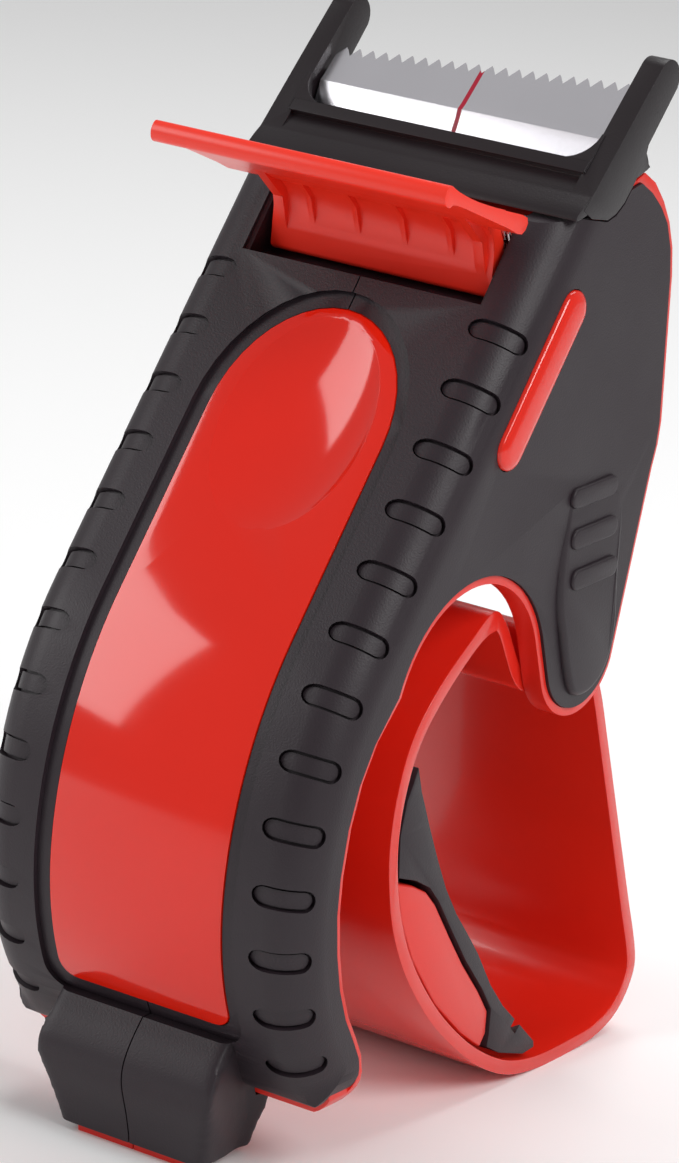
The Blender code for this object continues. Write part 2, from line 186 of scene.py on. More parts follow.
def spineFront(inset, steps=16):
    # the front line from its top down: a straight run and two arcs
    upperY, upperZ, upperR = housing["upperArc"]
    lowerY, lowerZ, lowerR = housing["lowerArc"]
    upper = arc(upperY, upperZ, upperR - inset, housing["tangent"], 180, steps)
    lower = arc(lowerY, lowerZ, lowerR - inset, 180, housing["lowerEnd"], steps)
    run, rise = housing["lineSlope"]
    reach = (housing["topZ"] - upper[0][1]) / rise
    return [(upper[0][0] + run * reach, housing["topZ"])] + upper + lower[1:]


def sideBack(inset):
    # the rest of a side panel's outline: its foot, the hand arch, the lobe and the back edge
    archY, archZ, archR = housing["arch"]
    lobeY, lobeZ, lobeR = housing["lobe"]
    toe = [(-38.5 - abs(inset), 11.0 + inset), (-37.8 - inset, 11.1 + inset)]
    toe += arc(-37.6 - inset, 15.8 + inset, 4.6, -82, 4, 8)
    inner = [(-34.0, 20.6), (-36.0, 24.0), (-38.6, 28.0), (-41.0, 33.5), (-42.6, 39.5),
             (-43.6, 46.0), (-43.6, 52.0), (-42.6, 59.5), (-40.6, 66.0), (-37.4, 71.8)]
    arch = arc(archY, archZ, archR + inset, 162, 18, 26)
    lobe = arc(lobeY, lobeZ, lobeR - inset, 203, 338, 20)
    back = [(36.2, 101.5), (37.3, 105.2), (37.7, 109.0), (36.2, 133.0), (35.4, 137.6), (33.6, 142.0),
            (31.2, 145.6 - inset * 0.5), (28.0, 149.0 - inset), (24.5, 151.0 - inset)]
    return toe + [(y - inset, z) for y, z in inner] + arch + lobe + [(y - inset, z) for y, z in back]


def roundFront(piece, front, side, radius):
    # rounds the long corner between the front and the side
    chain = [Vector((side * mm, y * mm, z * mm)) for y, z in front]
    shape = bmesh.new()
    shape.from_mesh(piece.data)
    near = {v for v in shape.verts if any((v.co - c).length < 0.02 * mm for c in chain)}
    edges = [e for e in shape.edges if e.verts[0] in near and e.verts[1] in near]
    bevelEdges(shape, edges, radius, housing["cornerSteps"], clamp=False)
    shape.to_mesh(piece.data)
    shape.free()


def housingBlock(name, inset, rim, side, radius, low):
    # half of the housing as a solid, with the long front corner rounded
    front = spineFront(inset)
    piece = slab(name, front + sideBack(rim), low, side)
    roundFront(piece, front, side, radius)
    return piece


def spineHollow(name, inset, side, radius):
    # the space inside the shell, run out past its top, bottom and back
    front = spineFront(inset)
    top = (front[0][0] + 15.0, front[0][1] + 20.0)
    low = (front[-1][0] + 4.5, front[-1][1] - 6.0)
    path = [top] + front + [low]
    piece = slab(name, path + [(low[0], -20.0), (70.0, -20.0), (70.0, top[1])], -2.0, side)
    roundFront(piece, path, side, radius)
    return piece


def uprightHole(name, half, low, high, corner=3.0):
    # a tall opening with a round top, straight through the spine's front
    outline = []
    for centre, first in ((-half + corner, 180), (half - corner, 270)):
        turns = [radians(a) for a in range(first, first + 91, 15)]
        outline += [(centre + corner * cos(a), low + corner + corner * sin(a)) for a in turns]
    turns = [radians(a) for a in range(0, 181, 9)]
    outline += [(half * cos(a), high - half + half * sin(a)) for a in turns]
    return throughFront(name, outline, 70)


def addMath(tree, operation, *feeds):
    # each feed is a number or another node's output
    node = tree.nodes.new("ShaderNodeMath")
    node.operation = operation
    for socket, feed in zip(node.inputs, feeds):
        if isinstance(feed, float):
            socket.default_value = feed
        else:
            tree.links.new(feed, socket)
    return node.outputs[0]


def makeGrainGroup():
    # fine moulded grain with a little dust, as colour, roughness and height
    tree = bpy.data.node_groups.new("mouldedGrain", "ShaderNodeTree")
    for name, kind, value in (("Color", "NodeSocketColor", (0.5, 0.5, 0.5, 1)),
                              ("Roughness", "NodeSocketFloat", 0.5),
                              ("Grain Scale", "NodeSocketFloat", 2600.0),
                              ("Variation", "NodeSocketFloat", 0.1)):
        socket = tree.interface.new_socket(name, in_out="INPUT", socket_type=kind)
        socket.default_value = value
    for name, kind in (("Color", "NodeSocketColor"), ("Roughness", "NodeSocketFloat"),
                       ("Height", "NodeSocketFloat")):
        tree.interface.new_socket(name, in_out="OUTPUT", socket_type=kind)
    nodes, links = tree.nodes, tree.links
    source, sink = nodes.new("NodeGroupInput"), nodes.new("NodeGroupOutput")
    spot = nodes.new("ShaderNodeTexCoord")
    grain, cloud = nodes.new("ShaderNodeTexNoise"), nodes.new("ShaderNodeTexNoise")
    cloud.inputs["Scale"].default_value = 60.0
    cloud.inputs["Detail"].default_value = 3.0
    for noise in (grain, cloud):
        links.new(spot.outputs["Object"], noise.inputs["Vector"])
    links.new(source.outputs["Grain Scale"], grain.inputs["Scale"])
    uneven = addMath(tree, "SUBTRACT", cloud.outputs["Fac"], 0.5)
    amount = addMath(tree, "MULTIPLY", uneven, source.outputs["Variation"])
    bright = addMath(tree, "ADD", amount, 1.0)
    rough = addMath(tree, "ADD", source.outputs["Roughness"], amount)
    tint = nodes.new("ShaderNodeVectorMath")
    tint.operation = "SCALE"
    links.new(source.outputs["Color"], tint.inputs[0])
    links.new(bright, tint.inputs["Scale"])
    links.new(tint.outputs[0], sink.inputs["Color"])
    links.new(rough, sink.inputs["Roughness"])
    links.new(grain.outputs["Fac"], sink.inputs["Height"])
    return tree


grainGroup = makeGrainGroup()


def finish(name, color, roughness, grainScale=2600.0, variation=0.12, bump=0.1,
           coat=0.0, metallic=0.0, specular=0.5):
    material = bpy.data.materials.new(name)
    material.use_nodes = True
    nodes, links = material.node_tree.nodes, material.node_tree.links
    shader = nodes["Principled BSDF"]
    shader.inputs["Metallic"].default_value = metallic
    shader.inputs["Coat Weight"].default_value = coat
    shader.inputs["Coat Roughness"].default_value = 0.05
    shader.inputs["Specular IOR Level"].default_value = specular
    grain = nodes.new("ShaderNodeGroup")
    grain.node_tree = grainGroup
    grain.inputs["Color"].default_value = (*color, 1)
    grain.inputs["Roughness"].default_value = roughness
    grain.inputs["Grain Scale"].default_value = grainScale
    grain.inputs["Variation"].default_value = variation
    relief = nodes.new("ShaderNodeBump")
    relief.inputs["Strength"].default_value = bump
    relief.inputs["Distance"].default_value = 0.0002
    links.new(grain.outputs["Color"], shader.inputs["Base Color"])
    links.new(grain.outputs["Roughness"], shader.inputs["Roughness"])
    links.new(grain.outputs["Height"], relief.inputs["Height"])
    links.new(relief.outputs["Normal"], shader.inputs["Normal"])
    return material


softBlack = finish("softBlack", (0.021, 0.0135, 0.018), 0.46, 3200, 0.16, 0.22, specular=0.38)
nosePlastic = finish("nosePlastic", (0.0135, 0.0095, 0.0115), 0.34, 2600, 0.12, 0.12, specular=0.42)
brightRed = finish("brightRed", (0.74, 0.020, 0.010), 0.30, 1800, 0.06, 0.04)
flapRed = finish("flapRed", (0.88, 0.030, 0.012), 0.34, 1600, 0.05, 0.03)
glossRed = finish("glossRed", (0.74, 0.013, 0.002), 0.10, 900, 0.05, 0.012, coat=0.25, specular=0.45)
loopRed = finish("loopRed", (0.72, 0.018, 0.008), 0.24, 900, 0.06, 0.02, coat=0.3)
greyPlastic = finish("greyPlastic", (0.42, 0.42, 0.43), 0.42)
brightSteel = finish("brightSteel", (0.62, 0.61, 0.63), 0.26, 1500, 0.1, 0.05, metallic=1.0)

bladeLook = {"color": (0.90, 0.88, 0.93), "lineColor": (0.35, 0.008, 0.03, 1), "lineHalf": 0.0004}


def bladeFinish():
    # polished sheet with one printed line along its middle
    material = finish("bladeSteel", bladeLook["color"], 0.26, 1200, 0.06, 0.02, metallic=1.0)
    tree = material.node_tree
    nodes, links = tree.nodes, tree.links
    shader = nodes["Principled BSDF"]
    grain = next(n for n in nodes if n.type == "GROUP")
    spot, split = nodes.new("ShaderNodeTexCoord"), nodes.new("ShaderNodeSeparateXYZ")
    links.new(spot.outputs["Object"], split.inputs[0])
    line = addMath(tree, "COMPARE", split.outputs["X"], 0.0, bladeLook["lineHalf"])
    paint = nodes.new("ShaderNodeMix")
    paint.data_type = "RGBA"
    paint.inputs["B"].default_value = bladeLook["lineColor"]
    links.new(line, paint.inputs["Factor"])
    links.new(grain.outputs["Color"], paint.inputs["A"])
    links.new(paint.outputs["Result"], shader.inputs["Base Color"])
    links.new(addMath(tree, "SUBTRACT", 1.0, line), shader.inputs["Metallic"])
    return material


bladeSteel = bladeFinish()


def addToObject(piece, material, body, slot, *nodes):
    piece.data.materials.clear()
    piece.data.materials.append(material)
    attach(piece, body)
    if nodes:
        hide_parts(*nodes)
    print("made", piece.name, len(piece.data.polygons))


# the soft black skins: distances along the front are measured from its top
skin = {
    "ribCount": 13, "ribPitch": 10.42, "ribStart": 18.9, "ribHeight": 1.75, "ribReach": 9.2,
    "ribDepth": 1.0, "floorDepth": 0.6, "grooveWidth": 0.45,
    "windowHalf": 16.2, "windowLow": 24.5, "windowHigh": 128.0, "frameWidth": 2.6, "frameDepth": 0.9,
    "tongueRise": 1.15, "tongueTop": 104.0, "tongueRun": 26.0,
    "barSpots": ((17.2, 100.9), (17.9, 94.2), (18.6, 87.5)), "barRadius": 1.7, "barRise": 0.55,
}
footShape = {
    "half": 16.4, "ridgeLow": 13.0, "ridgeHigh": 14.0, "taperBelow": 0.30, "taperAbove": 0.10,
    "voxel": 0.6, "rounds": 26, "base": 1.5,
}
pin = {"spot": (3.2, 142.6), "bore": 1.05, "seatLow": 20.0, "seatHigh": 24.3}


def alongFront(distance):
    # a point on the front line and its downward heading, measured from the top
    line = spineFront(0.0, 48)
    for (y0, z0), (y1, z1) in zip(line, line[1:]):
        length = Vector((y1 - y0, z1 - z0)).length
        if distance <= length:
            heading = Vector((y1 - y0, z1 - z0)) / length
            return Vector((y0, z0)) + heading * distance, heading
        distance -= length
    return Vector(line[-1]), heading


def ribPills(radius):
    # pill-shaped bars set across the front corner, one for each rib
    shape = bmesh.new()
    sideways = Vector((1, 0, 0))
    for number in range(skin["ribCount"]):
        point, heading = alongFront(skin["ribStart"] + number * skin["ribPitch"])
        down = Vector((0, heading.x, heading.y))
        outward = Vector((0, heading.y, -heading.x))
        across = (sideways - outward).normalized()
        facing = (sideways + outward).normalized()
        middle = Vector((housing["halfWidth"] - 4.65, point.x, point.y)) - outward * 1.9
        ring = []
        half = skin["ribReach"] / 2 - skin["ribHeight"]
        for end, first in ((half, -90), (-half, 90)):
            for step in range(9):
                turn = radians(first + 22.5 * step)
                ring.append(middle + across * (end + radius * cos(turn)) + down * radius * sin(turn))
        pushFace(shape, [(v - facing * 6.0) * mm for v in ring], facing * 16.0 * mm)
    bmesh.ops.recalc_face_normals(shape, faces=shape.faces)
    return newPiece("pills", asMesh(shape, "pills"))


def insetBlock(depth):
    return housingBlock("floor", depth, depth, housing["halfWidth"] - depth, 6.4, -4.0)


def ribTools():
    # each pocket has a raised floor with a narrow groove round it
    pockets = cut(ribPills(skin["ribHeight"]), insetBlock(skin["ribDepth"]))
    smaller = ribPills(skin["ribHeight"] - skin["grooveWidth"])
    pads = combine(smaller, insetBlock(skin["floorDepth"]), "INTERSECT")
    return cut(pockets, pads)


def footSolid():
    # widest at its ridge and narrower where it meets the table, softened like a moulding
    outline = smoothRing([(-45.0, 27.4), (-48.8, 22.6), (-52.2, 18.2), (-53.8, 13.4), (-51.6, 6.6),
                          (-50.3, 2.0), (-49.6, -3.0), (-43.0, -4.0), (-37.6, -3.0), (-36.4, 3.4),
                          (-35.8, 9.6), (-36.4, 13.4), (-40.0, 21.0)], 4)
    foot = slab("foot", outline, -12.0, footShape["half"] + 0.8)
    for v in foot.data.vertices:
        height = v.co.z / mm
        under = max(0.0, footShape["ridgeLow"] - height) * footShape["taperBelow"]
        over = max(0.0, height - footShape["ridgeHigh"]) * footShape["taperAbove"]
        if v.co.x > 0:
            v.co.x -= (under + over) * mm
    blocks = foot.modifiers.new("soft", "REMESH")
    blocks.mode = "VOXEL"
    blocks.voxel_size = footShape["voxel"] * mm
    soft = foot.modifiers.new("round", "SMOOTH")
    soft.factor = 0.5
    soft.iterations = footShape["rounds"]
    settle(foot)
    cut(foot, slab("otherHalf", [(-80, -20), (0, -20), (0, 60), (-80, 60)], -40.0, housing["seam"]))
    base = footShape["base"]
    cut(foot, slab("below", [(-80, -20), (0, -20), (0, base), (-80, base)], -40.0, 40.0))
    return foot


def cornerTool(centreX, centreZ, radius):
    # rounds the lower outer corner of a side panel
    turns = [radians(a) for a in range(-9, -90, -9)]
    outline = [(40.0, -2.0), (40.0, centreZ), (centreX + radius, centreZ)]
    outline += [(centreX + radius * cos(a), centreZ + radius * sin(a)) for a in turns]
    outline += [(centreX, centreZ - radius), (centreX, -2.0)]
    return throughFront("corner", outline, 50)


def pinSeat():
    return rodAcross("pinSeat", pin["spot"], pin["bore"], pin["seatLow"], pin["seatHigh"], 24)


# outlines in the side view, as y and z
recessRing = [(-12.0, 138.0), (-5.5, 131.8), (4.0, 131.8), (11.5, 141.5), (11.5, 152.0), (0.0, 154.0)]
linerRing = [(-6.4, 131.3), (4.2, 131.3), (4.2, 131.78), (-6.4, 131.78)]
linerSeat = [(-7.0, 131.2), (4.3, 131.2), (4.3, 133.0), (-7.0, 133.0)]
cheekRing = [(-6.6, 131.5), (4.0, 131.5), (11.4, 141.5), (11.4, 146.2), (2.5, 144.2)]
pocketWall = [(-4.9, 130.6), (4.6, 130.6), (12.7, 141.0), (12.7, 146.6), (7.2, 145.0)]
earSeat = [(4.0, 146.6), (9.0, 145.6), (13.7, 144.7), (16.2, 145.4), (18.3, 146.9), (20.6, 149.6),
           (22.6, 152.6), (20.0, 156.0), (6.0, 152.0)]
footInner = [(-45.5, 22.0), (-49.4, 16.5), (-50.2, 13.0), (-49.0, 0.0), (-38.6, 0.0), (-38.0, 13.0)]
footSpace = [(-45.7, 22.4), (-49.7, 16.6), (-50.5, 13.0), (-49.3, -1.0), (-38.2, -1.0), (-37.6, 13.1)]
tongueRing = [(26.3, 99.5), (27.2, 86.0), (27.4, 76.0), (25.4, 70.4), (21.6, 67.6), (17.4, 67.5),
              (14.8, 70.0), (11.6, 78.0), (9.6, 86.0), (10.4, 96.0), (13.0, 103.5)]
inlayEnds = ((-8.6, 112.3), (5.9, 131.8))
recessHalf = 22.4


def tongueLift(height):
    # flush at its top, standing proud at its lower end
    return skin["tongueRise"] * min(1.0, max(0.0, (skin["tongueTop"] - height) / skin["tongueRun"]))


def tongue():
    half = housing["halfWidth"]
    piece = slab("tongue", smoothRing(tongueRing, 4), 29.9, half + 0.02)
    shape = bmesh.new()
    shape.from_mesh(piece.data)
    for v in shape.verts:
        if v.co.x > 30.5 * mm:
            v.co.x += tongueLift(v.co.z / mm) * mm
    edges = [e for e in shape.edges if all(v.co.x > 30.5 * mm for v in e.verts)]
    bevelEdges(shape, edges, 1.0, 4)
    shape.to_mesh(piece.data)
    shape.free()
    for middle, height in skin["barSpots"]:
        ends = ((middle - 4.6, height - 0.1), (middle + 5.4, height + 0.3))
        bar = slab("bar", pill(*ends, skin["barRadius"]), 30.0, 33.4)
        top = half + tongueLift(height) + skin["barRise"]
        cut(bar, slab("level", [(0, 60), (40, 60), (40, 110), (0, 110)], top, 40.0))
        finishEdges(bar, 0.4, 3)
        join(piece, bar)
    return piece


def buildSkins():
    half, seam = housing["halfWidth"], housing["seam"]
    piece = housingBlock("right_skin", 0.0, housing["rimWidth"] + 0.1, half, housing["cornerRadius"], seam)
    cut(piece, cornerTool(22.0, 20.1, 9.0))
    join(piece, footSolid())
    cut(piece, housingBlock("space", housing["frontSkin"], -0.3, shellOut + 0.3, 5.6, -2.0))
    cut(piece, slab("footSpace", footSpace, -2.0, 11.0))
    cut(piece, ribTools())
    step = uprightHole("step", skin["windowHalf"] + skin["frameWidth"], skin["windowLow"] - 2.4,
                       skin["windowHigh"] + 2.6, 4.0)
    cut(step, housingBlock("stepFloor", skin["frameDepth"], 0.0, 40.0, 1.0, -30.0))
    cut(piece, step)
    cut(piece, uprightHole("opening", skin["windowHalf"] + 0.15, skin["windowLow"], skin["windowHigh"]))
    cut(piece, slab("recess", recessRing, -recessHalf, recessHalf))
    join(piece, slab("liner", linerRing, seam, recessHalf))
    join(piece, slab("cheek", cheekRing, 21.6, 22.5))
    cut(piece, slab("inlaySeat", pill(*inlayEnds, 3.5), 29.0, 40.0))
    cut(piece, pinSeat())
    cut(piece, slab("earSeat", earSeat, 29.5, 40.0))
    finishEdges(piece, 0.14, 2)
    join(piece, tongue())
    shadeSoftly(piece)
    left = mirrored(piece, "left_skin")
    addToObject(piece, softBlack, "housing", "soft_black", "right_overmould")
    addToObject(left, softBlack, "housing", "soft_black", "left_overmould")


def buildShells():
    inset, seam = housing["frontSkin"] + housing["gap"], housing["seam"]
    piece = housingBlock("right_red_shell", inset, 0.0, shellOut, 7.4, seam)
    rim = housingBlock("rim", inset + 3.0, 0.0, housing["rimFace"], 4.0, 26.0)
    cut(rim, housingBlock("rimInner", -3.0, housing["rimWidth"], 40.0, 1.0, 20.0))
    join(piece, rim)
    cut(piece, spineHollow("inside", inset + housing["shell"], shellIn, 3.6))
    cut(piece, cornerTool(21.6, 19.0, 9.0))
    join(piece, slab("footCore", footInner, seam, 10.7))
    join(piece, slab("pocketWall", pocketWall, seam, 23.6))
    cut(piece, uprightHole("windowHole", skin["windowHalf"] - 2.5, skin["windowLow"] + 3.0,
                           skin["windowHigh"] - 3.0))
    cut(piece, slab("recess", recessRing, -recessHalf, recessHalf))
    cut(piece, slab("linerSeat", linerSeat, -recessHalf, recessHalf))
    cut(piece, pinSeat())
    finishEdges(piece, 0.25)
    left = mirrored(piece, "left_red_shell")
    addToObject(piece, brightRed, "housing", "red_shell", "right_shell")
    addToObject(left, brightRed, "housing", "red_shell", "left_shell")


window = {"proud": 0.2, "back": 6.2, "dishSpot": (0.0, -24.75, 114.3), "dishSize": (16.2, 7.0, 22.6),
          "dishLean": -36.8}


def buildWindow():
    # a glossy strip with a shallow finger dish at its upper end
    half, low, high = skin["windowHalf"], skin["windowLow"], skin["windowHigh"]
    front = spineFront(skin["frameDepth"] - window["proud"], 40)
    piece = slab("window", front + spineFront(window["back"], 40)[::-1], -half, half)
    combine(piece, uprightHole("keep", half - 0.05, low + 0.1, high - 0.1), "INTERSECT")
    dish = bmesh.new()
    bmesh.ops.create_uvsphere(dish, u_segments=64, v_segments=40, radius=1.0)
    lean = Matrix.Rotation(radians(window["dishLean"]), 4, "X")
    size = Matrix.Diagonal((*(s * mm for s in window["dishSize"]), 1.0))
    dish.transform(Matrix.Translation([s * mm for s in window["dishSpot"]]) @ lean @ size)
    cut(piece, newPiece("dish", asMesh(dish, "dish")))
    finishEdges(piece, 0.25, 3, 25)
    addToObject(piece, glossRed, "housing", "red_gloss", "window_insert")


inlay = {"radius": 3.3, "low": 29.8, "high": 31.3, "crown": ((0.3, 0.30), (0.6, 0.34), (0.9, 0.16))}


def buildInlays():
    # a glossy pill, crowned along its middle in steps of inset and rise
    outline = pill(*inlayEnds, inlay["radius"], 16)
    piece = slab("right_pill", outline, inlay["low"], inlay["high"])
    shape = bmesh.new()
    shape.from_mesh(piece.data)
    top = [f for f in shape.faces if f.normal.x > 0.9]
    for width, lift in inlay["crown"]:
        bmesh.ops.inset_region(shape, faces=top, thickness=width * mm, depth=0.0, use_even_offset=True)
        bmesh.ops.translate(shape, verts=list({v for f in top for v in f.verts}), vec=(lift * mm, 0, 0))
    shape.to_mesh(piece.data)
    shape.free()
    shadeSoftly(piece, 60)
    left = mirrored(piece, "left_pill")
    addToObject(piece, glossRed, "housing", "red_gloss", "right_inlay")
    addToObject(left, glossRed, "housing", "red_gloss", "left_inlay")


# the blade leans back from its crease: the directions up it and out of its face, as y and z
crease = Vector((17.6, 156.2))
bladeUp = Vector((cos(pi / 4), sin(pi / 4)))
bladeOut = Vector((-bladeUp.y, bladeUp.x))
nose = {"half": 30.9, "earInner": 27.2, "fillet": 5.5, "lipThick": 2.2, "lipTop": -5.8}


def acrossBlade(name, outline, low, high):
    # an outline in the blade's own plane: x across, and the distance up from the crease
    corners = []
    for x, reach in outline:
        at = crease + bladeUp * reach + bladeOut * low
        corners.append((x * mm, at.x * mm, at.y * mm))
    return pushedPiece(name, corners, Vector((0.0, bladeOut.x, bladeOut.y)) * (high - low) * mm)


def buildNose():
    # a crosspiece under the blade with an ear at each end, and a lip in front of the blade
    body = smoothRing([(13.4, 152.4), (9.6, 150.2), (5.2, 147.2), (5.2, 146.0), (14.0, 148.6), (24.2, 151.5),
                       (24.6, 152.4), (23.4, 154.6), (21.0, 157.4), (18.9, 155.5), (16.9, 151.4),
                       (15.2, 151.0)], 3)
    piece = slab("nose", body, -nose["half"], nose["half"])
    ear = [(6.4, 147.4), (8.2, 149.2), (17.4, 158.9), (25.6, 167.4)] + arc(28.0, 165.3, 3.2, 138, -30, 12)
    ear += [(23.8, 155.6), (23.2, 153.4), (22.4, 152.4), (20.4, 149.6), (18.1, 147.1), (16.0, 145.7),
            (13.7, 145.0), (9.0, 145.8)]
    under = [(-2.0, 140.0), (40.0, 140.0), (40.0, 156.0), (24.4, 151.4), (4.8, 146.0)]
    inner, corner, lipTop = nose["earInner"], nose["fillet"], nose["lipTop"]
    turns = [radians(a) for a in range(0, 91, 9)]
    for side in (1, -1):
        lobe = slab("ear", ear, *sorted((side * inner, side * 31.0)))
        cut(lobe, slab("under", under, *sorted((side * 29.6, side * 20.0))))
        join(piece, lobe)
        bend = [(side * (inner + 0.5), -7.6), (side * (inner + 0.5), corner + lipTop)]
        bend += [(side * (inner - corner + corner * cos(a)), lipTop + corner - corner * sin(a))
                 for a in turns]
        bend += [(side * (inner - corner), -7.6)]
        join(piece, acrossBlade("bend", bend, 0.35, nose["lipThick"]))
    lip = [(-inner - 0.4, -7.8), (inner + 0.4, -7.8), (inner + 0.4, -5.6), (-inner - 0.4, -5.6)]
    join(piece, acrossBlade("lip", lip, 0.1, nose["lipThick"]))
    finishEdges(piece, 0.8, 4, 28)
    addToObject(piece, nosePlastic, "housing", "black_plastic", "nose_fork")


blade = {"half": 26.6, "teeth": 22, "lowEnd": 6.9, "highEnd": 11.2, "tooth": 1.7, "thick": 0.6,
         "height": 11.6, "foot": (15.6, 151.2)}


def buildBlade():
    # a bent sheet whose toothed edge rises from one end to the other
    half, teeth = blade["half"], blade["teeth"]
    back = -bladeOut * blade["thick"]
    top = crease + bladeUp * blade["height"]
    foot = Vector(blade["foot"])
    outline = [foot, crease + (foot - crease).normalized() * 1.2, crease + Vector((-0.12, 0.1)),
               crease + bladeUp * 1.2, top, top + back, crease + bladeUp * 1.2 + back,
               crease + Vector((0.6, -0.35)), foot + Vector((0.65, 0.0))]
    piece = slab("blade", [tuple(p) for p in outline], -half, half)
    ring = [(-30.0, blade["lowEnd"])]
    for i in range(2 * teeth + 1):
        edge = blade["lowEnd"] + (blade["highEnd"] - blade["lowEnd"]) * i / (2 * teeth)
        ring.append((-half + half / teeth * i, edge - (blade["tooth"] if i % 2 == 0 else 0.0)))
    ring += [(30.0, blade["highEnd"]), (30.0, 20.0), (-30.0, 20.0)]
    cut(piece, acrossBlade("saw", ring, 4.0, -4.0))
    shadeSoftly(piece, 12)
    addToObject(piece, bladeSteel, "housing", "blade_steel", "cutter_blade")


flap = {"half": 27.0, "hingeHalf": 18.2, "rootHalf": 20.6, "ribSpots": (-13.0, -4.4, 4.4, 13.0),
        "ribWidth": 0.9, "endSpots": (-18.6, 18.6), "endWidth": 1.8}


def buildFlap():
    # the curled plate, its hinge block and the wall that fills the pocket behind it
    plate = [(-25.6, 154.7), (-26.6, 154.3), (-27.1, 153.2), (-26.8, 151.9), (-25.6, 151.3), (-23.8, 151.5),
             (-16.0, 148.7), (-9.0, 146.1), (-4.6, 144.5), (-3.4, 146.9), (-10.0, 148.9), (-18.0, 151.3),
             (-23.2, 153.4)]
    hinge = [(-9.0, 146.1), (-4.4, 144.4), (-2.4, 142.6), (-1.6, 139.6), (-1.6, 137.4), (0.5, 137.2),
             (1.2, 138.4), (2.2, 139.8), (6.2, 142.4), (4.4, 145.4), (-3.0, 146.8), (-9.0, 148.4)]
    wall = [(-4.6, 144.7), (-2.3, 142.2), (-1.6, 139.6), (-1.6, 132.6), (0.3, 132.6), (0.8, 137.0),
            (0.9, 141.2), (-0.8, 144.0), (-3.2, 146.4)]
    rib = [(-7.4, 146.0), (-2.0, 145.4), (-1.4, 137.6), (-2.4, 139.8), (-3.4, 142.4)]
    end = [(-10.0, 146.8), (-2.0, 145.6), (-0.6, 141.0), (-1.0, 135.0), (-2.2, 137.4), (-3.6, 141.6)]
    piece = slab("press_flap", smoothRing(plate, 3), -flap["half"], flap["half"])
    join(piece, slab("root", hinge, -flap["hingeHalf"], flap["hingeHalf"]))
    back = slab("wall", wall, -flap["rootHalf"], flap["rootHalf"])
    shape = bmesh.new()
    shape.from_mesh(back.data)
    low = [e for e in shape.edges if all(v.co.z < 133.0 * mm and abs(v.co.x) > 20.0 * mm for v in e.verts)]
    bevelEdges(shape, low, 4.0, 6)
    shape.to_mesh(back.data)
    shape.free()
    join(piece, back)
    for x in flap["ribSpots"]:
        join(piece, slab("rib", rib, x - flap["ribWidth"] / 2, x + flap["ribWidth"] / 2))
    for x in flap["endSpots"]:
        join(piece, slab("end", end, x - flap["endWidth"] / 2, x + flap["endWidth"] / 2))
    cut(piece, rodAcross("pinBore", pin["spot"], pin["bore"], -30.0, 30.0, 32))
    finishEdges(piece, 0.4, 3, 28)
    addToObject(piece, flapRed, "flap", "red_shell", "flap")


loopOuter = [(-1.2, 84.0), (-6.7, 80.9), (-15.2, 74.6), (-21.4, 67.6), (-24.2, 60.0), (-25.1, 52.0),
             (-24.4, 45.0), (-22.0, 36.5), (-17.0, 27.6), (-8.6, 17.9), (0.5, 10.4), (8.8, 5.0),
             (17.0, 1.5), (26.0, 0.05), (36.0, 0.05), (44.0, 0.7), (50.4, 3.2), (54.2, 7.8),
             (54.7, 13.0), (50.0, 24.8), (44.1, 39.3), (38.1, 54.1), (34.2, 63.4), (31.0, 68.0),
             (26.0, 70.2), (14.0, 70.4), (8.6, 72.6), (2.6, 81.4)]
loopInner = [(-1.0, 80.6), (-5.6, 78.8), (-13.6, 72.6), (-19.2, 66.2), (-21.9, 59.0), (-22.8, 52.0),
             (-22.1, 45.4), (-19.8, 37.6), (-15.1, 29.1), (-7.1, 19.7), (1.6, 12.3), (9.6, 7.2),
             (17.6, 3.8), (26.2, 2.35), (36.0, 2.35), (43.6, 2.9), (49.0, 5.0), (51.8, 8.6),
             (52.2, 12.8), (47.9, 23.6), (42.0, 38.4), (36.0, 53.2), (32.4, 62.0), (29.8, 66.1),
             (25.4, 67.9), (13.4, 68.0), (7.2, 70.4), (1.2, 79.4)]
loopBoss = {"spot": (19.5, 72.5), "radius": 4.0, "bore": 1.35}


def buildLoop():
    # the broad band that the hand goes through, with the boss that its screw holds
    piece = slab("hand_loop", smoothRing(loopOuter, 5), -coreHalf, coreHalf)
    cut(piece, slab("hand", smoothRing(loopInner, 5), -40.0, 40.0))
    join(piece, rodAcross("boss", loopBoss["spot"], loopBoss["radius"], -coreHalf, coreHalf))
    cut(piece, rodAcross("bossBore", loopBoss["spot"], loopBoss["bore"], -40.0, -8.0, 24))
    finishEdges(piece, 0.45)
    addToObject(piece, loopRed, "housing", "red_gloss", "hub_loop")


wedgeBack = [(-21.2, 44.0), (-19.3, 37.6), (-14.7, 29.5), (-6.7, 20.0), (2.0, 12.7), (8.2, 8.6)]
wedgeFace = [(9.7, 10.6), (9.6, 14.5), (6.2, 18.8), (0.5, 25.0), (-3.9, 30.5), (-9.4, 37.6),
             (-12.4, 40.4), (-16.4, 42.4)]
rubberBack = [(-20.9, 57.5), (-22.0, 52.0), (-21.3, 45.0), (-16.2, 43.3), (-12.0, 41.1), (-9.0, 38.1),
              (-3.5, 31.0), (0.9, 25.5), (6.6, 19.3), (10.1, 14.8), (10.2, 10.4), (9.9, 8.3)]
rubberFace = [(14.0, 6.1), (21.5, 3.8), (24.8, 4.1), (24.6, 5.2), (19.7, 9.4), (13.8, 14.3),
              (9.3, 19.1), (4.4, 25.8), (0.5, 30.3), (-3.3, 34.5), (-7.2, 39.8), (-10.5, 45.5),
              (-13.7, 51.5), (-17.0, 58.1), (-18.6, 62.4), (-19.6, 60.0)]
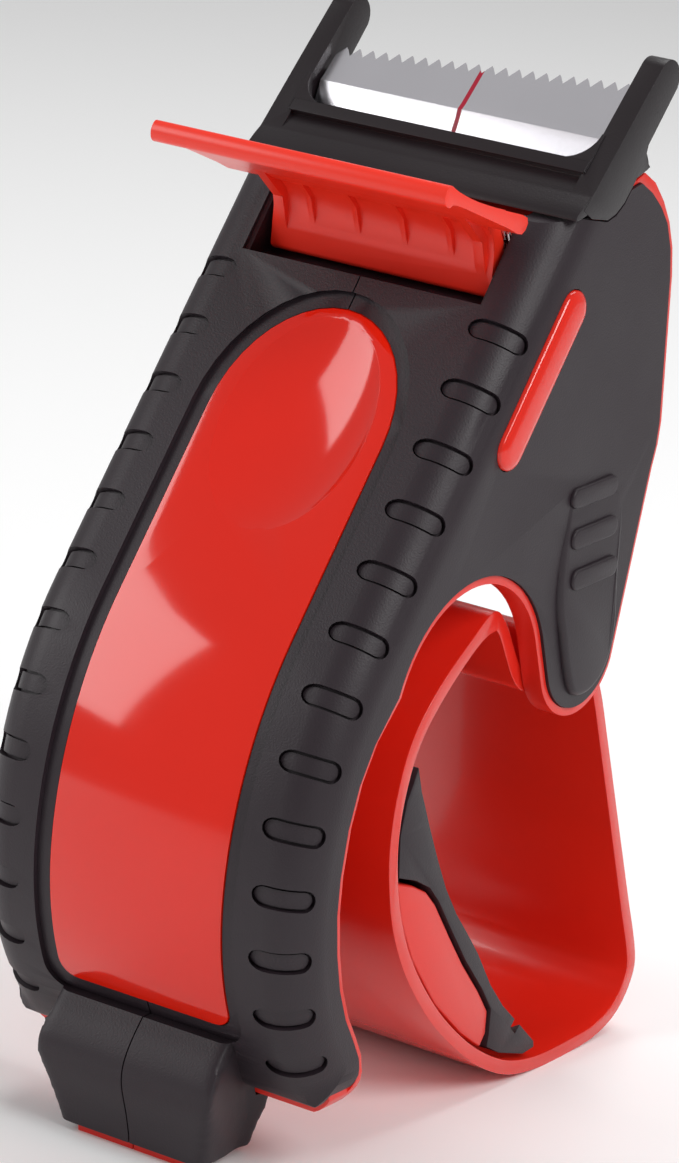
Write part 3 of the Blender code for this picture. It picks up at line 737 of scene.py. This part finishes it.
grip = {
    "grooves": 16, "grooveWidth": 1.5, "grooveDepth": 1.7, "grooveLength": 24.0, "grooveSpot": 21.0,
    "slant": 46.0, "firstShare": 0.03, "coveredShare": 0.84,
}


def alongLine(line, distance):
    # a point on a line of points and its heading there
    for a, b in zip(line, line[1:]):
        length = (b - a).length
        if distance <= length:
            break
        distance -= length
    heading = (b - a).normalized()
    return a + heading * distance, heading


def buildGrip():
    # the wedge inside the loop, and the rubber on it with slanted grooves at both sides
    core = slab("wedge", wedgeBack + wedgeFace, -coreHalf + 0.6, coreHalf - 0.6)
    finishEdges(core, 0.4)
    addToObject(core, brightRed, "housing", "red_shell", "grip_core")
    piece = slab("finger_grip", rubberBack + rubberFace, -coreHalf + 0.3, coreHalf - 0.3)
    line = [Vector(p) for p in rubberFace[3:-1]]
    total = sum((b - a).length for a, b in zip(line, line[1:]))
    size = Matrix.Diagonal((grip["grooveLength"] * mm, grip["grooveWidth"] * mm,
                            2 * grip["grooveDepth"] * mm, 1))
    for number in range(grip["grooves"]):
        share = grip["firstShare"] + grip["coveredShare"] * number / (grip["grooves"] - 1)
        at, heading = alongLine(line, total * share)
        axes = Matrix(((1, 0, 0), (0, heading.x, heading.y), (0, heading.y, -heading.x))).to_4x4()
        for side in (1, -1):
            shape = bmesh.new()
            bmesh.ops.create_cube(shape, size=1.0)
            spot = Matrix.Translation((side * grip["grooveSpot"] * mm, at.x * mm, at.y * mm))
            slant = Matrix.Rotation(radians(side * grip["slant"]), 4, "Z")
            shape.transform(spot @ axes @ slant @ size)
            bmesh.ops.recalc_face_normals(shape, faces=shape.faces)
            cut(piece, newPiece("groove", asMesh(shape, "groove")))
    finishEdges(piece, 0.2, 2)
    addToObject(piece, softBlack, "housing", "soft_black", "grip_rubber")


frameLooks = {
    greyPlastic: ("guide_roller", "roller_bush_right", "roller_bush_left"),
    brightSteel: ("flap_pin", "flap_spring", "roller_axle", "upper_screw", "rear_screw", "loop_screw"),
    brightRed: ("upper_spacer", "rear_spacer"),
}


def dressFrame():
    # the frame's own pieces keep their shapes and get the same materials
    for material, names in frameLooks.items():
        for name in names:
            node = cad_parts[name]
            node.data.materials.clear()
            node.data.materials.append(material)
        print("dressed", len(names), "frame pieces in", material.name)


# a lamp is its name, place and size in metres, and its power
studio = {
    "floorHalf": 4.0, "floorColor": (0.96, 0.96, 0.96, 1), "floorRoughness": 0.8, "worldStrength": 0.38,
    "aim": (0, 0, 0.08),
    "lamps": (
        ("key", (0.80, -0.20, 0.80), 0.45, 5.6),
        ("fill", (-0.75, -0.55, 0.50), 0.50, 3.2),
        ("top", (-0.05, 0.45, 0.95), 0.60, 4.6),
    ),
}


def buildStage():
    shape = bmesh.new()
    bmesh.ops.create_grid(shape, x_segments=1, y_segments=1, size=studio["floorHalf"])
    floor = newPiece("floor", asMesh(shape, "floor"))
    pale = bpy.data.materials.new("paleFloor")
    pale.use_nodes = True
    shader = pale.node_tree.nodes["Principled BSDF"]
    shader.inputs["Base Color"].default_value = studio["floorColor"]
    shader.inputs["Roughness"].default_value = studio["floorRoughness"]
    floor.data.materials.append(pale)
    world = bpy.data.worlds.new("studio")
    world.use_nodes = True
    world.node_tree.nodes["Background"].inputs["Color"].default_value = (1, 1, 1, 1)
    world.node_tree.nodes["Background"].inputs["Strength"].default_value = studio["worldStrength"]
    bpy.context.scene.world = world
    for name, spot, size, power in studio["lamps"]:
        lamp = bpy.data.lights.new(name, "AREA")
        lamp.size = size
        lamp.energy = power
        source = bpy.data.objects.new(name, lamp)
        source.location = spot
        source.rotation_euler = (Vector(studio["aim"]) - Vector(spot)).to_track_quat("-Z", "Y").to_euler()
        bpy.context.scene.collection.objects.link(source)
    bpy.context.scene.view_settings.view_transform = "Standard"  # keeps the reds deep
    print("stage and lamps ready")


# the camera's place in metres, and the directions of its right side and its back
view = {
    "lens": 156.48, "sensor": 36.0, "place": (0.41547, -0.64321, 0.30813),
    "right": (0.8212, 0.56433, 0.08465), "back": (0.52319, -0.80381, 0.28313),
}


def buildCamera():
    lens = bpy.data.cameras.new("camera")
    lens.lens = view["lens"]
    lens.sensor_fit = "VERTICAL"
    lens.sensor_height = view["sensor"]
    camera = bpy.data.objects.new("camera", lens)
    right = Vector(view["right"])
    back = Vector(view["back"])
    up = back.cross(right)
    camera.matrix_world = Matrix.Translation(view["place"]) @ Matrix((right, up, back)).transposed().to_4x4()
    bpy.context.scene.collection.objects.link(camera)
    bpy.context.scene.camera = camera
    print("camera ready")


buildCamera()
buildStage()
buildShells()
buildSkins()
buildWindow()
buildInlays()
buildNose()
buildBlade()
buildFlap()
buildLoop()
buildGrip()
dressFrame()
